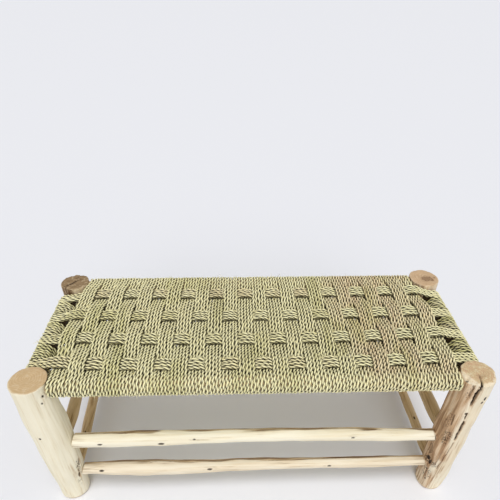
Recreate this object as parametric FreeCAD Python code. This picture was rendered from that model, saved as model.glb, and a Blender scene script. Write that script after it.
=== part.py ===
import FreeCAD, Part
import math
import os

V = FreeCAD.Vector

# Bench with four log legs, round poles set in mortises and a rope seat woven over four seat rails.
# Millimetres, X along the bench, Y from front to back, Z up.

# Legs
LEG_SPAN_X = 924.0
LEG_SPAN_Y = 342.0
LEG_HEIGHT = 411.0
LEG_TOP_ROUND = 4.0
LEG_FOOT_ROUND = 9.0
LEG_SEAM_ANGLE = 45.0
RIM_REACH = 1.0
FRONT_LEFT_RADIUS = 40.0
FRONT_RIGHT_RADIUS = 37.0
BACK_LEFT_RADIUS = 36.0
BACK_RIGHT_RADIUS = 38.5

# Heights along a leg, as shares of it, where its log is measured
LEG_STATIONS = (0.0, 0.2, 0.48, 0.78, 1.0)

# Each leg: side in X, side in Y, radius, girth at the stations, and how far the log strays there
LEGS = {
    "front_left": (
        -1, -1, FRONT_LEFT_RADIUS, (0.88, 0.94, 1.06, 1.02, 0.99),
        ((0, 0), (2, -1), (2, 1), (0, 1), (0, 0))),
    "front_right": (
        1, -1, FRONT_RIGHT_RADIUS, (0.91, 0.97, 1.02, 1.0, 0.98),
        ((0, 0), (1, 0), (-2, -1), (-1, 0), (0, 0))),
    "back_left": (
        -1, 1, BACK_LEFT_RADIUS, (0.95, 1.0, 1.03, 1.01, 1.0),
        ((0, 0), (-1, 1), (-1, 2), (1, 0), (0, 0))),
    "back_right": (
        1, 1, BACK_RIGHT_RADIUS, (0.93, 0.98, 1.0, 1.02, 0.99),
        ((0, 0), (1, 1), (2, 0), (0, -1), (0, 0))),
}

# Round mortise and tenon joints
TENON_RADIUS = 9.0
TENON_DEPTH = 34.0
MORTISE_CLEARANCE = 0.1
MORTISE_END_GAP = 1.0
COPE_ALLOWANCE = 9.0

# Seat rails, the side pair lower and further out than the long pair so that their tenons pass
SEAT_RAIL_RADIUS = 17.0
LONG_RAIL_DROP = 20.0
SIDE_RAIL_DROP = 34.0
SIDE_RAIL_OUTSET = 10.0
SEAT_TENON_RADIUS = 10.0
LONG_RAIL_TENON_DEPTH = 29.0

# Stretchers and rungs: the height at each end, as a share of the leg, and the offset from each leg axis
FRONT_UPPER_SHARE = (0.494, 0.479)
FRONT_LOWER_SHARE = (0.205, 0.214)
BACK_UPPER_SHARE = (0.523, 0.513)
BACK_LOWER_SHARE = (0.236, 0.229)
LEFT_UPPER_SHARE = (0.411, 0.457)
LEFT_LOWER_SHARE = (0.105, 0.168)
RIGHT_UPPER_SHARE = (0.421, 0.414)
RIGHT_LOWER_SHARE = (0.122, 0.102)
LEFT_RUNG_OFFSET = (8.0, -6.0)
RIGHT_RUNG_OFFSET = (0.0, 0.0)
STRETCHER_OFFSET = (0.0, 0.0)

# Shares of the run between two legs where a pole is measured
POLE_STATIONS = (0.0, 0.12, 0.3, 0.5, 0.7, 0.88, 1.0)

# Each pole: its legs, height shares and offsets, its radius at the stations and how far it bows up there
POLES = {
    "front_stretcher_upper": (
        "front_left", "front_right", FRONT_UPPER_SHARE, STRETCHER_OFFSET,
        (16.6, 18.2, 17.2, 15.6, 15.5, 15.3, 14.4), (0, 2, 5, 9, 8, 3, 0)),
    "front_stretcher_lower": (
        "front_left", "front_right", FRONT_LOWER_SHARE, STRETCHER_OFFSET,
        (14.6, 18.4, 17.2, 15.2, 13.8, 14.0, 12.4), (0, -1, -3, 1, 0, 0, 0)),
    "back_stretcher_upper": (
        "back_left", "back_right", BACK_UPPER_SHARE, STRETCHER_OFFSET,
        (11.8, 14.0, 15.0, 15.6, 16.4, 15.5, 12.4), (0, 1, 2, -1, -3, -1, 0)),
    "back_stretcher_lower": (
        "back_left", "back_right", BACK_LOWER_SHARE, STRETCHER_OFFSET,
        (11.4, 14.2, 15.8, 16.2, 15.0, 14.2, 12.0), (0, 0, -2, -3, 1, 1, 0)),
    "left_rung_upper": (
        "front_left", "back_left", LEFT_UPPER_SHARE, LEFT_RUNG_OFFSET,
        (12.4, 14.0, 14.6, 14.4, 14.0, 13.4, 12.0), (0, 0, 1, 2, 1, 0, 0)),
    "left_rung_lower": (
        "front_left", "back_left", LEFT_LOWER_SHARE, LEFT_RUNG_OFFSET,
        (11.6, 13.2, 13.8, 14.0, 13.6, 13.0, 11.8), (0, -1, -1, 0, 1, 1, 0)),
    "right_rung_upper": (
        "front_right", "back_right", RIGHT_UPPER_SHARE, RIGHT_RUNG_OFFSET,
        (12.6, 15.6, 16.8, 16.4, 15.6, 14.2, 12.2), (0, 1, 1, 0, -1, 0, 0)),
    "right_rung_lower": (
        "front_right", "back_right", RIGHT_LOWER_SHARE, RIGHT_RUNG_OFFSET,
        (11.4, 12.6, 13.0, 13.2, 12.8, 12.4, 11.4), (0, 0, 1, 1, 0, 0, 0)),
}

# Rope seat: five turns to a warp band, four turns to a weft row, and bare turns on the side rails
ROPE_DIAMETER = 6.3
ROPE_GAP = 0.68
ROPE_SEAT_CLEARANCE = 0.25
WARP_TURNS = 5
WEFT_TURNS = 4
WEFT_ROWS = 4
WEFT_SPREAD = 0.3
WRAP_END_GAP = 0.6
SEAT_TO_LEG_GAP = 1.5
WARP_RISE = 0.98 * ROPE_DIAMETER
WEFT_RISE = 0.62 * ROPE_DIAMETER
SEAT_SAG = 10.0

# Spacing of the points on which the least gap between turns is measured, the length along the rope from
# which two points belong to different turns, and the size of the cells that sort them
GAP_POINT_STEP = 1.5
NEXT_TURN_LENGTH = 6 * ROPE_DIAMETER
GAP_CELL = 2 * ROPE_DIAMETER

# Share by which the warp spreads between the rails, past its width between the legs
WARP_FLARE = 0.035

# How far each weft row, from the back one on, leans to the front away from the side rails
ROW_LEAN = (0.0, 6.0, 12.0, 19.0)
LEAN_POWER = 4

# Sizes that follow from the ones above
rope_radius = ROPE_DIAMETER / 2
widest_leg = max(spec[2] * max(spec[3][-2:]) for spec in LEGS.values())
long_rail_z = LEG_HEIGHT - LONG_RAIL_DROP
side_rail_z = LEG_HEIGHT - SIDE_RAIL_DROP
long_rail_y = LEG_SPAN_Y / 2
side_rail_x = LEG_SPAN_X / 2 + SIDE_RAIL_OUTSET
wrap_radius = SEAT_RAIL_RADIUS + ROPE_SEAT_CLEARANCE + rope_radius
warp_pitch = ROPE_DIAMETER + ROPE_GAP
weft_pitch = warp_pitch + WEFT_SPREAD
band_pitch = WARP_TURNS * warp_pitch
warp_room = LEG_SPAN_X - 2 * (widest_leg + SEAT_TO_LEG_GAP)
warp_bands = int(warp_room // band_pitch)
weft_half = (WEFT_TURNS - 1) * weft_pitch / 2 + rope_radius
outer_row_y = LEG_SPAN_Y / 2 - widest_leg - SEAT_TO_LEG_GAP - weft_half
row_pitch = 2 * outer_row_y / (WEFT_ROWS - 1)
row_y = [outer_row_y - row * row_pitch for row in range(WEFT_ROWS)]
band_x = [(band - (warp_bands - 1) / 2) * band_pitch for band in range(warp_bands)]


def log(centres, radii, axis, seam=0.0):
    rings = []
    for centre, radius in zip(centres, radii):
        ring = Part.Wire(Part.makeCircle(radius, centre, axis))
        ring.rotate(centre, axis, seam)
        rings.append(ring)
    return Part.makeLoft(rings, True)


def leg_axis(name, z):
    side_x, side_y = LEGS[name][:2]
    return V(side_x * LEG_SPAN_X / 2, side_y * LEG_SPAN_Y / 2, z)


def leg_blank(name):
    radius, girths, strays = LEGS[name][2:]
    centres = []
    for share, stray in zip(LEG_STATIONS, strays):
        centres.append(leg_axis(name, share * LEG_HEIGHT) + V(stray[0], stray[1], 0))
    body = log(centres, [radius * girth for girth in girths], V(0, 0, 1), LEG_SEAM_ANGLE)
    top = [edge for edge in body.Edges if edge.BoundBox.ZMin > LEG_HEIGHT - RIM_REACH]
    foot = [edge for edge in body.Edges if edge.BoundBox.ZMax < RIM_REACH]
    return body.makeFillet(LEG_TOP_ROUND, top).makeFillet(LEG_FOOT_ROUND, foot)


def mouth(blank, inside, towards):
    line = blank.common(Part.makeLine(inside, towards))
    return max((vertex.Point for vertex in line.Vertexes), key=lambda point: (point - inside).Length)


def add_tenon(body, at, inward, radius, depth):
    start = at - inward * COPE_ALLOWANCE
    return body.fuse(Part.makeCylinder(radius, COPE_ALLOWANCE + depth, start, inward))


def mortise(at, inward, radius, depth):
    start = at - inward * COPE_ALLOWANCE
    length = COPE_ALLOWANCE + depth + MORTISE_END_GAP
    return Part.makeCylinder(radius + MORTISE_CLEARANCE, length, start, inward)


def joined_pole(end_a, end_b, blank_a, blank_b, stations, radii, bows, tenon_radius, tenon_depth):
    """The pole coped to both legs with a tenon at each end, and the mortise that each leg needs."""
    mouth_a = mouth(blank_a, end_a, end_b)
    mouth_b = mouth(blank_b, end_b, end_a)
    run = mouth_b - mouth_a
    heading = V(run).normalize()
    centres = [mouth_a - heading * COPE_ALLOWANCE]
    for share, bow in zip(stations, bows):
        centres.append(mouth_a + run * share + V(0, 0, bow))
    centres.append(mouth_b + heading * COPE_ALLOWANCE)
    body = log(centres, [radii[0]] + list(radii) + [radii[-1]], heading)
    body = body.cut(blank_a).cut(blank_b)
    body = add_tenon(body, mouth_a, -heading, tenon_radius, tenon_depth)
    body = add_tenon(body, mouth_b, heading, tenon_radius, tenon_depth)
    hole_a = mortise(mouth_a, -heading, tenon_radius, tenon_depth)
    hole_b = mortise(mouth_b, heading, tenon_radius, tenon_depth)
    return body.removeSplitter(), hole_a, hole_b


def pole_ends(leg_a, leg_b, heights, offsets):
    along_x = LEGS[leg_a][1] == LEGS[leg_b][1]
    sideways = V(0, 1, 0) if along_x else V(1, 0, 0)
    end_a = leg_axis(leg_a, heights[0]) + sideways * offsets[0]
    end_b = leg_axis(leg_b, heights[1]) + sideways * offsets[1]
    return end_a, end_b


def s_bend(start, end, heading):
    """Two equal arcs that leave the start and reach the end along the heading."""
    half_run = (end - start).dot(heading) / 2
    aside = (end - start) / 2 - heading * half_run
    half_aside = aside.Length
    middle = (start + end) / 2
    radius = (half_run ** 2 + half_aside ** 2) / (2 * half_aside)
    half_turn = math.atan2(half_aside, half_run)
    lift = aside * (radius * (1 - math.cos(half_turn)) / half_aside)
    lead = heading * (radius * math.sin(half_turn)) + lift
    first = Part.Arc(start, start + lead, middle).toShape()
    second = Part.Arc(middle, end - lead, end).toShape()
    return [first, second]


def round_rail(start, end, outward):
    """Half a turn round a rail from one level tangent to the other."""
    middle = (start + end) / 2
    radius = abs(end.z - start.z) / 2
    return [Part.Arc(start, middle + outward * radius, end).toShape()]


def through(points, heading):
    edges = []
    for start, end in zip(points, points[1:]):
        edges += s_bend(start, end, heading)
    return edges


def rope(edges):
    """One unbroken tube along the path."""
    path = Part.Wire(edges)
    start = edges[0].firstVertex(True).Point
    profile = Part.Wire(Part.makeCircle(rope_radius, start, edges[0].tangentAt(edges[0].FirstParameter)))
    return path.makePipeShell([profile], True, False)


def least_gap(edges):
    """Least distance between two turns of the path, less the rope, on points along it."""
    points = []
    length = 0.0
    for edge in edges:
        count = max(2, int(edge.Length / GAP_POINT_STEP))
        for index in range(count):
            points.append((length + edge.Length * index / count, edge.valueAt(
                edge.FirstParameter + (edge.LastParameter - edge.FirstParameter) * index / count)))
        length += edge.Length
    cells = {}
    for at, point in points:
        key = tuple(int(c // GAP_CELL) for c in point)
        cells.setdefault(key, []).append((at, point))
    least = math.inf
    for (i, j, k), here in cells.items():
        near = []
        for step in [(a, b, c) for a in (0, 1) for b in (-1, 0, 1) for c in (-1, 0, 1)]:
            near += cells.get((i + step[0], j + step[1], k + step[2]), [])
        for at, point in here:
            for other_at, other in near:
                if abs(other_at - at) > NEXT_TURN_LENGTH:
                    least = min(least, point.distanceToPoint(other))
    return least - ROPE_DIAMETER


def warp_rise(band, row):
    return -WARP_RISE if (band + row) % 2 else WARP_RISE


def weft_rise(band, row):
    return WEFT_RISE if (band + row) % 2 else -WEFT_RISE


def lean(band, row):
    """How far a weft row has moved to the front at a band."""
    return ROW_LEAN[row] * (1 - (band_x[band] / side_rail_x) ** LEAN_POWER)


def flare(band, row):
    """How much wider than at the rails the warp is at a crossing."""
    across = 2 * (row_y[row] - lean(band, row)) / LEG_SPAN_Y
    return 1 + WARP_FLARE * (1 - across ** 2)


def sag(band, row):
    """How far the seat hangs at a crossing, nothing at the rails."""
    along = 2 * band_x[band] / LEG_SPAN_X
    across = 2 * (row_y[row] - lean(band, row)) / LEG_SPAN_Y
    return SEAT_SAG * (1 - along ** 2) * (1 - across ** 2)


def warp_path(band):
    high = long_rail_z + wrap_radius
    low = long_rail_z - wrap_radius
    edges = []
    for turn in range(WARP_TURNS):
        x = band_x[band] + (turn - (WARP_TURNS - 1) / 2) * warp_pitch
        before = x - warp_pitch / 2
        after = x + warp_pitch / 2
        top = [V(x, long_rail_y, high)]
        under = [V(after, long_rail_y, low)]
        for row in range(WEFT_ROWS):
            wider = flare(band, row)
            y = row_y[row] - lean(band, row)
            rise = warp_rise(band, row) - sag(band, row)
            top.append(V(x * wider, y, high + rise))
            under.append(V(after * wider, y + weft_pitch / 2, low + rise))
        top.append(V(x, -long_rail_y, high))
        under.append(V(after, -long_rail_y, low))
        edges += round_rail(V(before, long_rail_y, low), top[0], V(0, 1, 0))
        edges += through(top, V(0, -1, 0))
        edges += round_rail(top[-1], under[-1], V(0, -1, 0))
        edges += through(under[::-1], V(0, 1, 0))
    return edges


def weft_path(row):
    high = side_rail_z + wrap_radius
    low = side_rail_z - wrap_radius
    woven_high = long_rail_z + wrap_radius
    woven_low = long_rail_z - wrap_radius
    edges = []
    for turn in range(WEFT_TURNS):
        y = row_y[row] + (turn - (WEFT_TURNS - 1) / 2) * weft_pitch
        before = y - weft_pitch / 2
        after = y + weft_pitch / 2
        top = [V(-side_rail_x, y, high)]
        under = [V(-side_rail_x, after, low)]
        for band in range(warp_bands):
            x = band_x[band] * flare(band, row)
            rise = weft_rise(band, row) - sag(band, row)
            top.append(V(x, y - lean(band, row), woven_high + rise))
            under.append(V(x + warp_pitch / 2, after - lean(band, row), woven_low + rise))
        top.append(V(side_rail_x, y, high))
        under.append(V(side_rail_x, after, low))
        edges += round_rail(V(-side_rail_x, before, low), top[0], V(-1, 0, 0))
        edges += through(top, V(1, 0, 0))
        edges += round_rail(top[-1], under[-1], V(1, 0, 0))
        edges += through(under[::-1], V(-1, 0, 0))
    return edges


def wrap_path(side, gap):
    """Bare turns round a side rail between two weft rows."""
    x = side * side_rail_x
    high = side_rail_z + wrap_radius
    low = side_rail_z - wrap_radius
    room = row_pitch - 2 * weft_half - weft_pitch / 2 - 2 * WRAP_END_GAP - ROPE_DIAMETER
    turns = int(room // warp_pitch)
    y = (row_y[gap] + row_y[gap + 1] + weft_pitch / 2 - turns * warp_pitch) / 2
    outward = V(side, 0, 0)
    lead = outward * ROPE_DIAMETER
    edges = [Part.makeLine(V(x, y, low) - lead, V(x, y, low))]
    for turn in range(turns):
        bottom = V(x, y + turn * warp_pitch, low)
        top = V(x, y + (turn + 0.5) * warp_pitch, high)
        edges += round_rail(bottom, top, outward)
        edges += round_rail(top, V(x, y + (turn + 1) * warp_pitch, low), -outward)
    end = V(x, y + turns * warp_pitch, low)
    edges.append(Part.makeLine(end, end + lead))
    return edges


nodes = {}
blanks = {name: leg_blank(name) for name in LEGS}
holes = {name: [] for name in LEGS}


def set_between(node, leg_a, leg_b, ends, stations, radii, bows, tenon_radius, tenon_depth):
    body, hole_a, hole_b = joined_pole(
        ends[0], ends[1], blanks[leg_a], blanks[leg_b], stations, radii, bows, tenon_radius, tenon_depth)
    holes[leg_a].append(hole_a)
    holes[leg_b].append(hole_b)
    nodes[node] = body


# Stretchers and rungs
for node, (leg_a, leg_b, shares, offsets, radii, bows) in POLES.items():
    heights = [share * LEG_HEIGHT for share in shares]
    ends = pole_ends(leg_a, leg_b, heights, offsets)
    set_between(node, leg_a, leg_b, ends, POLE_STATIONS, radii, bows, TENON_RADIUS, TENON_DEPTH)

# Seat rails, straight under the rope
straight = (SEAT_RAIL_RADIUS, SEAT_RAIL_RADIUS)
for side in ("front", "back"):
    pair = (side + "_left", side + "_right")
    ends = pole_ends(pair[0], pair[1], (long_rail_z, long_rail_z), (0, 0))
    set_between(
        "seat_rail_" + side, pair[0], pair[1], ends, (0.0, 1.0), straight, (0, 0),
        SEAT_TENON_RADIUS, LONG_RAIL_TENON_DEPTH)
for side, sign in (("left", -1), ("right", 1)):
    pair = ("front_" + side, "back_" + side)
    outset = sign * SIDE_RAIL_OUTSET
    ends = pole_ends(pair[0], pair[1], (side_rail_z, side_rail_z), (outset, outset))
    set_between(
        "seat_rail_" + side, pair[0], pair[1], ends, (0.0, 1.0), straight, (0, 0),
        SEAT_TENON_RADIUS, TENON_DEPTH)

# Legs with their mortises
for name, blank in blanks.items():
    nodes["leg_" + name] = blank.cut(holes[name])

# Rope, band by band
gaps = {}
for band in range(warp_bands):
    path = warp_path(band)
    nodes["warp_band_%02d" % (band + 1)] = rope(path)
    if band in (0, 1, warp_bands - 1):
        gaps["warp_band_%02d" % (band + 1)] = least_gap(path)
for row in range(WEFT_ROWS):
    path = weft_path(row)
    nodes["weft_band_%d" % (row + 1)] = rope(path)
    gaps["weft_band_%d" % (row + 1)] = least_gap(path)
for side, sign in (("left", -1), ("right", 1)):
    for gap in range(WEFT_ROWS - 1):
        path = wrap_path(sign, gap)
        nodes["%s_rail_wrap_%d" % (side, gap + 1)] = rope(path)
        gaps["%s_rail_wrap_%d" % (side, gap + 1)] = least_gap(path)

# Origin on the floor under the middle of the bench
reach = None
for name in LEGS:
    box = nodes["leg_" + name].optimalBoundingBox(False, False)
    if reach is None:
        reach = box
    else:
        reach.add(box)
shift = V(-(reach.XMin + reach.XMax) / 2, -(reach.YMin + reach.YMax) / 2, -reach.ZMin)

os.makedirs("parts", exist_ok=True)
for node, shape in nodes.items():
    shape.translate(shift)
    solid = shape.Solids[0] if len(shape.Solids) == 1 else shape
    solid.exportStep("parts/%s.step" % node)
    print(node, len(shape.Solids), shape.isValid(), round(shape.Volume / 1000, 1))
for node, gap in gaps.items():
    print("least gap between turns of", node, round(gap, 2))
print("bands", warp_bands, "rows", [round(y, 1) for y in row_y])
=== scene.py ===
from math import copysign, cos, pi, radians, sin, sqrt

import bpy
import numpy as np
from mathutils import Matrix, Vector


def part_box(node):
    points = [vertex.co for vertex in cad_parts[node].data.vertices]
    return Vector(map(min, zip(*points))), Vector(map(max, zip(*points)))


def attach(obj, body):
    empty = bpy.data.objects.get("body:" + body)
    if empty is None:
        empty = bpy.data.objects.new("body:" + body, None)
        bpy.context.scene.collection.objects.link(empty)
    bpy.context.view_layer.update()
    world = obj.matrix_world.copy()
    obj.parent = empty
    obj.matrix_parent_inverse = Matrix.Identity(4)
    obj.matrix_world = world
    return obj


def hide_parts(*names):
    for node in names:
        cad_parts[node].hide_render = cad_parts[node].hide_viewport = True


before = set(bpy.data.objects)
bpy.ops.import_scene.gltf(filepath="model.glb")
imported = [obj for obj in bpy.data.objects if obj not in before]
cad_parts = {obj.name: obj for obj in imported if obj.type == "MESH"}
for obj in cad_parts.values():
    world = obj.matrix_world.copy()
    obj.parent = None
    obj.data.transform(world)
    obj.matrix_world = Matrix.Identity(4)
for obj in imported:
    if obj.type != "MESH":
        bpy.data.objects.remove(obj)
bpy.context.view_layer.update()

scene = bpy.context.scene
scene.view_settings.view_transform = "Standard"

X, Y, Z = range(3)

# Camera, fitted to the photograph: place in metres, then pitch, yaw and roll in degrees
IMAGE_SIZE = 500
FOCAL_PIXELS = 440.4
CENTRE_ROW = 308.4
SENSOR_WIDTH = 36.0
CAMERA_PLACE = Vector((-0.0325, -0.7829, 1.0852))
CAMERA_TURN = (39.01, 1.81, -0.39)

# Floor and light: each lamp has a level, a spread in degrees and a heading
FLOOR_CORNERS = ((-30, -20, 0), (30, -20, 0), (30, 40, 0), (-30, 40, 0))
FLOOR_COLOUR = (239, 240, 245)
FILL_LEVEL = 0.38
LAMPS = {"overhead": (1.42, 26, (0.0, 0.25, -0.97)), "front": (0.86, 34, (0.0, 0.85, -0.53))}

# Sockets of the mix node when it mixes colours
MIX_SHARE, MIX_FIRST, MIX_SECOND = 0, 6, 7
MIX_RESULT = 2

# Noises in the wood: pace across and along the grain, detail, roughness and distortion
GRAIN = (150.0, 7.0, 5.0, 0.6)
FINE_GRAIN = (360.0, 16.8, 3.0, 0.6)
PATCHES = (22.0, 4.0, 4.0, 0.5, 0.4)
PITS = (330.0, 210.0, 2.0, 0.5, 0.3)
PORES = (420.0, 420.0, 3.0, 0.65)
BLOTCHES = (95.0, 95.0, 5.0, 0.65, 0.6)

# Rings and dark marks of the wood
RING_PACE = 1350.0
PIT_COLOUR = (58, 38, 22)
CRACK_COLOUR = (46, 30, 16)
POLE_DARK = (92, 64, 38)

# Mesh and relief of the legs
LEG_VOXEL = 0.0014
CROWN_DEPTH = 0.007
FOOT_DEPTH = 0.006
LEG_RIBS = 0.00022
LEG_LUMPS = 0.0006
CRACK_WANDER = 0.0008
PIT_DEPTH = 0.0012
WORN_EDGE = 15
WORN_WANDER = 9
WORN_FADE = 0.02
CUT_FADE = (0.020, 0.004)
CUT_WAVES = 0.0006
BEVEL_SUNK = (0.0008, 0.0024)
SPLIT_WANDER = 0.0006
BARK_EDGE = (0.84, 0.95)
SAW_MARKS = 0.00018
SAW_WAVES = 0.0004
CROWN_SINK = 0.0006

# Mesh and relief of the poles, which leave their tenons as they are
POLE_VOXEL = 0.0017
POLE_SLICE = 0.01
TENON_REACH = (0.0100, 0.0108)
LEAST_RADIUS = 0.004
POLE_RIBS = 0.00022
POLE_SINK = 0.0002
POLE_LUMPS = 0.00035
POLE_FLATS = 0.0005
POLE_KNOT = 0.0009
KNOT_STRETCH = 0.45
END_SHADE = 0.35
END_REACH = (0.045, 0.085)

# Rope and weave, as in the solids
ROPE = 0.0063
WARP_BANDS = 24
WARP_TURNS = 5
WEFT_ROWS = 4
WEFT_TURNS = 4
WRAP_TURNS = 5
WEFT_SPREAD = 0.0003
SEAT_CLEARANCE = 0.00025
WARP_RISE = 0.98 * ROPE
WEFT_RISE = 0.62 * ROPE
SEAT_SAG = 0.010
WARP_FLARE = 0.035
ROW_LEAN = (0.0, 0.006, 0.012, 0.019)
LEAN_POWER = 4

# Lie of the rope where it differs from the solids
WEFT_OPEN = 1.17
WRAP_PASSES = 6
WRAP_PITCH = 0.0075
WRAP_SLACK = 0.0036
WRAP_START = 0.25
UNDER_FLARE = 0.02
EDGE_SWING = 0.005
EDGE_SHIFT = 0.0015
EDGE_POWER = 10

# Twist of the rope, two plies that are fuller under the seat
VISIBLE_ROPE = 0.0070
WEFT_STOUT = 1.08
PLY_SHARE = 0.58
LAY = 0.027
NEIGHBOUR_SHIFT = 0.06
UNDER_SWELL = 0.35
UNDER_PLY_SHARE = 0.72
UNDER_BELOW = 0.012
UNDER_ABOVE = 0.004
ROLL_INSIDE = 0.012
ROLL_OUTSIDE = 0.002

# Unevenness of hand-laid rope: an amount, and the length that it wavers over
LONG_SWAY = (0.00022, 0.11)
SHORT_SWAY = (0.00010, 0.03)
LIFT = (0.00026, 0.09)
LONG_GIRTH = (0.035, 0.05)
SHORT_GIRTH = (0.03, 0.014)
LONG_AGE = (0.16, 0.25)
SHORT_AGE = (0.12, 0.05)
PLY_AGE = (0.22, 0.20)
TWIST_LENGTH = 0.16

# Steps along the rope, finer where it shows
PATH_STEP = 0.001
FINE_STEP = 0.0019
COARSE_STEP = 0.0033
FINE_DEPTH = 0.012
ROPE_SIDES = 12

# Loose fibres that stand off the rope
FIBRES_PER_METRE = 14.0
FIBRE_RADIUS = 0.0008
FIBRE_TAPER = 0.7
FIBRE_ROOT = 0.8
FIBRE_REACH = (0.006, 0.020)
FIBRE_LIFT = (0.05, 0.40)
FIBRE_CURL = (-0.6, 0.6)
FIBRE_RINGS = 5
FIBRE_SIDES = 3

# Colour and shade of the rope
STREAKS_ALONG = 130.0
STREAKS_AROUND = 22.0
STREAK_SHIFT = 0.37
AGED_COLOUR = (108, 88, 48)
# Near black painted into the rope as shade between plies, between ropes and under crossing ropes
GROOVE_SHADE_COLOUR = (22, 16, 6)
ROW_BROWN = (0.45, 0.15, 0.05, 0.25)
ROW_GREEN = (0.10, 0.40, 0.15, 0.10)
ROW_AGE = (0.10, 0.08, 0.12, 0.0)
RIGHT_GREEN = 0.06
RIGHT_FROM = (0.12, 0.22)
BROWN_FROM = (0.14, 0.26)
BROWN_UNTIL = (0.44, 0.48)
GREY_X = -0.087
GREY_HALF = 0.019
GREY_FROM = (-0.06, 0.02)
GREY_AGE = 0.55
VALLEY_SHADE = 0.62
# How strong the painted groove shade is on the weft rows and on the wraps round the side rails
CROSS_GROOVE_SHADE = 1.1
WRAP_GROOVE_SHADE = {"left": 1.12, "right": 1.35}
WRAP_AGE = {"left": 0.25, "right": 0.6}
WRAP_GREEN = {"left": 0.3, "right": 0.42}
GREEN_RANGE = 0.4
TUCK_SHADE = 0.52
TUCK_START = -0.001
TUCK_REACH = 0.0045

# Seeds of the ropes and of their tints
WARP_SEEDS = range(1000, 2000, 37)
WEFT_SEEDS = range(3000, 4000, 41)
WRAP_SEEDS = range(4000, 5000, 43)
BROWN_SEED = 71
GREEN_SEED = 83
SIDE_SEED = 87
WEFT_SEED = 91


def srgb(red, green, blue):
    """A colour written from 0 to 255, as the shader's sockets take it."""
    values = []
    for channel in (red, green, blue):
        share = channel / 255
        values.append(share / 12.92 if share <= 0.04045 else ((share + 0.055) / 1.055) ** 2.4)
    return (*values, 1.0)


def lengths(rows):
    return np.linalg.norm(rows, axis=1)


def unit(rows):
    return rows / lengths(rows)[:, None]


def waves(points, size, seed, count=14):
    """A smooth seeded wobble over points, about one unit high."""
    rng = np.random.default_rng(seed)
    heading = unit(rng.normal(size=(count, points.shape[1])))
    pace = 2 * pi / size * rng.uniform(0.6, 1.7, count)
    start = rng.uniform(0, 2 * pi, count)
    return np.sin(points @ heading.T * pace + start).sum(1) / sqrt(count / 2)


def smooth(low, high, values):
    """An easy step from 0 at low to 1 at high."""
    share = np.clip((values - low) / (high - low), 0, 1)
    return share * share * (3 - 2 * share)


def bell(away, width):
    """A soft bump: 1 where away is 0, and gone some two widths off."""
    return np.exp(-((away / width) ** 2))


def turn_from(angle, degrees):
    """The turn from a heading in degrees to each angle, at most half a turn."""
    return (angle - radians(degrees) + pi) % (2 * pi) - pi


def set_floats(mesh, **values):
    for name, data in values.items():
        attribute = mesh.attributes.new(name, "FLOAT", "POINT")
        attribute.data.foreach_set("value", np.asarray(data, np.float32).ravel())


def placed(name, data):
    made = bpy.data.objects.new(name, data)
    scene.collection.objects.link(made)
    return made


def smoothed(mesh):
    mesh.polygons.foreach_set("use_smooth", np.ones(len(mesh.polygons), bool))
    mesh.update()
    return mesh


def seat_piece(piece, node, material):
    """Give a piece its material, and put it in the place of a node."""
    piece.data.materials.clear()
    piece.data.materials.append(material)
    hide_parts(node)
    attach(piece, "root")


class Shader:
    """A node material built up one call at a time."""

    def __init__(self, name):
        self.material = bpy.data.materials.new(name)
        self.material.use_nodes = True
        self.tree = self.material.node_tree

    def feed(self, socket, value):
        """Link an output or set a value, where a tuple is a colour and None leaves the socket alone."""
        if isinstance(value, bpy.types.NodeSocket):
            self.tree.links.new(value, socket)
        elif value is not None:
            socket.default_value = srgb(*value) if isinstance(value, tuple) else value

    def node(self, kind, output, inputs, **settings):
        made = self.tree.nodes.new("ShaderNode" + kind)
        for key, value in settings.items():
            setattr(made, key, value)
        for key, value in inputs.items():
            self.feed(made.inputs[key], value)
        return made.outputs[output]

    def floats(self, name):
        return self.node("Attribute", "Fac", {}, attribute_name=name)

    def grained(self, axis, across, along, *looks):
        """A noise that runs along an axis."""
        scale = [across] * 3
        scale[axis] = along
        place = self.node("TexCoord", "Object", {})
        return self.noise(self.node("Mapping", "Vector", {"Vector": place, "Scale": scale}), *looks)

    def noise(self, vector, detail, roughness, distortion=0.0, scale=1.0):
        return self.node("TexNoise", "Fac", {
            "Vector": vector, "Scale": scale, "Detail": detail, "Roughness": roughness,
            "Distortion": distortion})

    def span(self, value, low, high, to_low=0.0, to_high=1.0):
        return self.node("MapRange", "Result", {
            "Value": value, "From Min": low, "From Max": high, "To Min": to_low, "To Max": to_high})

    def ramp(self, value, *stops):
        colour = self.node("ValToRGB", "Color", {"Fac": value})
        elements = colour.node.color_ramp.elements
        while len(elements) < len(stops):
            elements.new(0.5)
        for element, (place, shade) in zip(elements, stops):
            element.position = place
            element.color = srgb(*shade)
        return colour

    def blend(self, share, first, second):
        inputs = {MIX_SHARE: share, MIX_FIRST: first, MIX_SECOND: second}
        return self.node("Mix", MIX_RESULT, inputs, data_type="RGBA")

    def maths(self, operation, first, second=0.0):
        return self.node("Math", 0, {0: first, 1: second}, operation=operation)

    def bump(self, height, strength, distance, normal=None):
        return self.node("Bump", "Normal", {
            "Height": height, "Strength": strength, "Distance": distance, "Normal": normal})

    def finish(self, colour, roughness, normal=None, specular=0.3):
        surface = self.tree.nodes["Principled BSDF"]
        for name, value in (("Base Color", colour), ("Roughness", roughness), ("Normal", normal),
                            ("Specular IOR Level", specular)):
            self.feed(surface.inputs[name], value)
        return self.material


# Materials

def wood_side(look, axis, grain, pale, deep, worn, dark):
    """Colour along the grain: streaks and broad patches, and weathered where the tone says so."""
    patches = look.grained(axis, *PATCHES)
    fresh = look.ramp(grain, (0.28, deep), (0.55, pale))
    fresh = look.blend(look.span(patches, 0.42, 0.75, 0.0, 0.55), fresh, deep)
    weathered = look.blend(look.span(grain, 0.35, 0.62), dark, worn)
    streaks = look.span(grain, 0.30, 0.70, 0.40, -0.40)
    share = look.span(look.maths("ADD", look.floats("tone"), streaks), 0.22, 0.90)
    return look.blend(share, fresh, weathered)


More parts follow.
